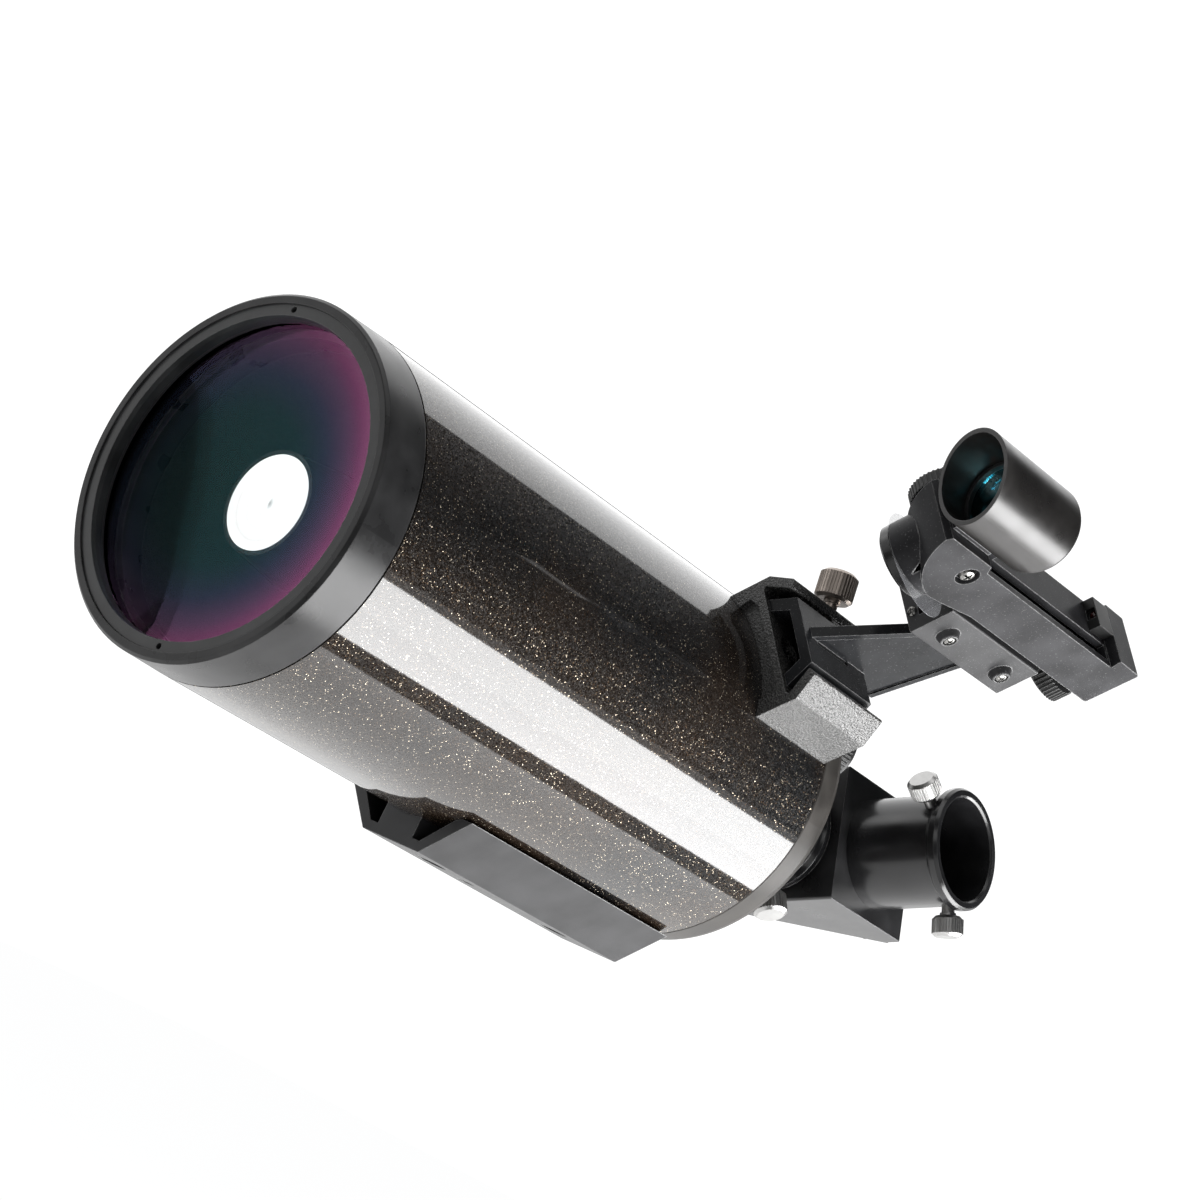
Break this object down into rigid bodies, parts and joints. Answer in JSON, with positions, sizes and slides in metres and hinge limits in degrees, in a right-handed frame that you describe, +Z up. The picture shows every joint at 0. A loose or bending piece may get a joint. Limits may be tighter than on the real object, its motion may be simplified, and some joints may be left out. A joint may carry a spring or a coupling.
{
  "type": "catadioptric telescope tube",
  "caption": "Short closed-tube mirror-and-lens telescope with a star diagonal, focusing knob, dovetail block and red-dot finder on a clamped bracket.",
  "frame": {"origin": "centre of the flat underside of the dovetail block", "axes": "+Z up out of the block towards the tube, the telescope looks along -Y, the diagonal is at +Y, the finder is on the +X side"},
  "size_m": [0.1685, 0.3161, 0.1685],
  "materials": {
    "tube_black": "gloss black enamel with fine metallic flake",
    "cell_black": "satin black",
    "rear_grey": "satin dark grey",
    "black_metal": "black anodised",
    "gloss_black_metal": "polished black anodised",
    "block_grey": "satin dark grey",
    "cast_black": "wrinkle-textured black",
    "corrector_glass": "coated",
    "mirror_coat": "polished",
    "seal_rubber": "matte",
    "chrome": "bright",
    "steel": "machined",
    "brass": "machined",
    "knob_plastic": "satin black",
    "box_plastic": "satin black",
    "finder_plastic": "satin dark grey",
    "wheel_plastic": "gloss black",
    "hood_plastic": "semi-gloss black",
    "coated_window": "coated",
    "clear_plastic": "clear",
    "cell_steel": "bright",
    "board_green": "printed circuit",
    "led_red": "clear red"
  },
  "bodies": {
    "optical_tube": {"main_tube": "tube_black", "front_cell": "cell_black", "lens_retaining_ring": "black_metal", "lens_seal": "seal_rubber", "meniscus_corrector": "corrector_glass", "secondary_spot": "mirror_coat", "secondary_baffle": "black_metal", "primary_baffle_tube": "black_metal", "focus_bush": "brass", "focus_washer": "steel", "baffle_screws": "steel", "rear_cell": "rear_grey", "visual_back": "gloss_black_metal", "dovetail_block": "block_grey", "dovetail_screws": "steel", "mounting_nuts": "steel", "finder_shoe": "cast_black", "shoe_screws": "steel"},
    "primary": {"primary_mirror": "mirror_coat", "mirror_carrier": "black_metal", "mirror_retaining_nut": "brass", "focus_nut": "brass"},
    "focuser": {"focus_screw": "steel", "focus_knob": "knob_plastic", "focus_knob_screw": "steel"},
    "visual_back_clamp": {"visual_back_thumbscrew": "chrome"},
    "star_diagonal": {"diagonal_housing": "box_plastic", "diagonal_cover": "box_plastic", "diagonal_mirror": "mirror_coat", "diagonal_cover_screws": "steel", "diagonal_nosepiece": "chrome", "eyepiece_holder": "gloss_black_metal"},
    "eyepiece_clamp_upper": {"eyepiece_thumbscrew_upper": "chrome"},
    "eyepiece_clamp_lower": {"eyepiece_thumbscrew_lower": "chrome"},
    "shoe_clamp": {"shoe_thumbscrew": "chrome"},
    "bracket": {"finder_bracket": "finder_plastic", "finder_cradle": "finder_plastic", "cradle_screws": "steel", "azimuth_pin": "steel", "azimuth_washer": "clear_plastic"},
    "azimuth_adjuster": {"azimuth_wheel": "wheel_plastic"},
    "yoke": {"finder_yoke": "finder_plastic", "altitude_leaf_spring": "steel", "leaf_spring_screw": "steel", "pivot_screws": "steel"},
    "altitude_adjuster": {"altitude_wheel": "wheel_plastic"},
    "finder": {"finder_body": "finder_plastic", "finder_hood": "hood_plastic", "finder_window": "coated_window", "window_ring": "black_metal", "battery_tab": "clear_plastic", "battery_cover": "finder_plastic", "coin_cell": "cell_steel", "battery_contact": "brass", "circuit_board": "board_green", "led_block": "hood_plastic", "led_emitter": "led_red", "altitude_nut": "finder_plastic"},
    "dial": {"brightness_dial": "wheel_plastic"}
  },
  "joints": [
    {"name": "mirror_focus", "type": "slide", "parent": "optical_tube", "child": "primary", "axis": [0, 1, 0], "range_m": [-0.003, 0.003]},
    {"name": "focus_knob_turn", "type": "hinge", "parent": "optical_tube", "child": "focuser", "pos_m": [0.021, 0.07, 0.0875], "axis": [0, 1, 0], "range_deg": [-1440, 1440]},
    {"name": "visual_back_clamp_turn", "type": "hinge", "parent": "optical_tube", "child": "visual_back_clamp", "pos_m": [0.01528, 0.098, 0.03947], "axis": [0.5878, 0, -0.809], "range_deg": [0, 360]},
    {"name": "diagonal_turn", "type": "hinge", "parent": "optical_tube", "child": "star_diagonal", "pos_m": [0, 0.1, 0.0605], "axis": [0, 1, 0], "continuous": true},
    {"name": "eyepiece_clamp_upper_turn", "type": "hinge", "parent": "star_diagonal", "child": "eyepiece_clamp_upper", "pos_m": [0.04036, 0.11238, 0.09005], "axis": [-0.2111, -0.8192, 0.5333], "range_deg": [0, 360]},
    {"name": "eyepiece_clamp_lower_turn", "type": "hinge", "parent": "star_diagonal", "child": "eyepiece_clamp_lower", "pos_m": [0.05298, 0.13422, 0.05817], "axis": [0.3625, 0.1736, -0.9157], "range_deg": [0, 360]},
    {"name": "shoe_clamp_turn", "type": "hinge", "parent": "optical_tube", "child": "shoe_clamp", "pos_m": [0.03428, 0.0369, 0.12376], "axis": [-0.1804, 0, 0.9836], "range_deg": [0, 360]},
    {"name": "bracket_slide", "type": "slide", "parent": "optical_tube", "child": "bracket", "axis": [0, 1, 0], "range_m": [-0.0015, 0.025]},
    {"name": "azimuth_wheel_turn", "type": "hinge", "parent": "bracket", "child": "azimuth_adjuster", "pos_m": [0.0672, 0.02638, 0.13971], "axis": [-0.6756, 0, 0.7373], "range_deg": [-720, 720]},
    {"name": "azimuth_swivel", "type": "hinge", "parent": "bracket", "child": "yoke", "pos_m": [0.082, 0.04986, 0.13564], "axis": [0.737, -0.0279, 0.6753], "range_deg": [-2.5, 2.5]},
    {"name": "altitude_wheel_turn", "type": "hinge", "parent": "yoke", "child": "altitude_adjuster", "pos_m": [0.07978, 0.08546, 0.13361], "axis": [0.737, -0.0279, 0.6753], "range_deg": [-340, 1360]},
    {"name": "altitude_tilt", "type": "hinge", "parent": "yoke", "child": "finder", "pos_m": [0.08855, 0.0096, 0.14164], "axis": [0.6756, 0, -0.7373], "range_deg": [-0.5, 2]},
    {"name": "brightness_turn", "type": "hinge", "parent": "finder", "child": "dial", "pos_m": [0.08074, 0.00374, 0.15347], "axis": [-0.6756, 0, 0.7373], "range_deg": [0, 270]}
  ],
  "couplings": [
    {"joint": "focus_knob_turn", "follows": "mirror_focus", "rad_per_m": 8377.5},
    {"joint": "azimuth_wheel_turn", "follows": "azimuth_swivel", "ratio": 287.9},
    {"joint": "altitude_wheel_turn", "follows": "altitude_tilt", "ratio": 677.9}
  ]
}
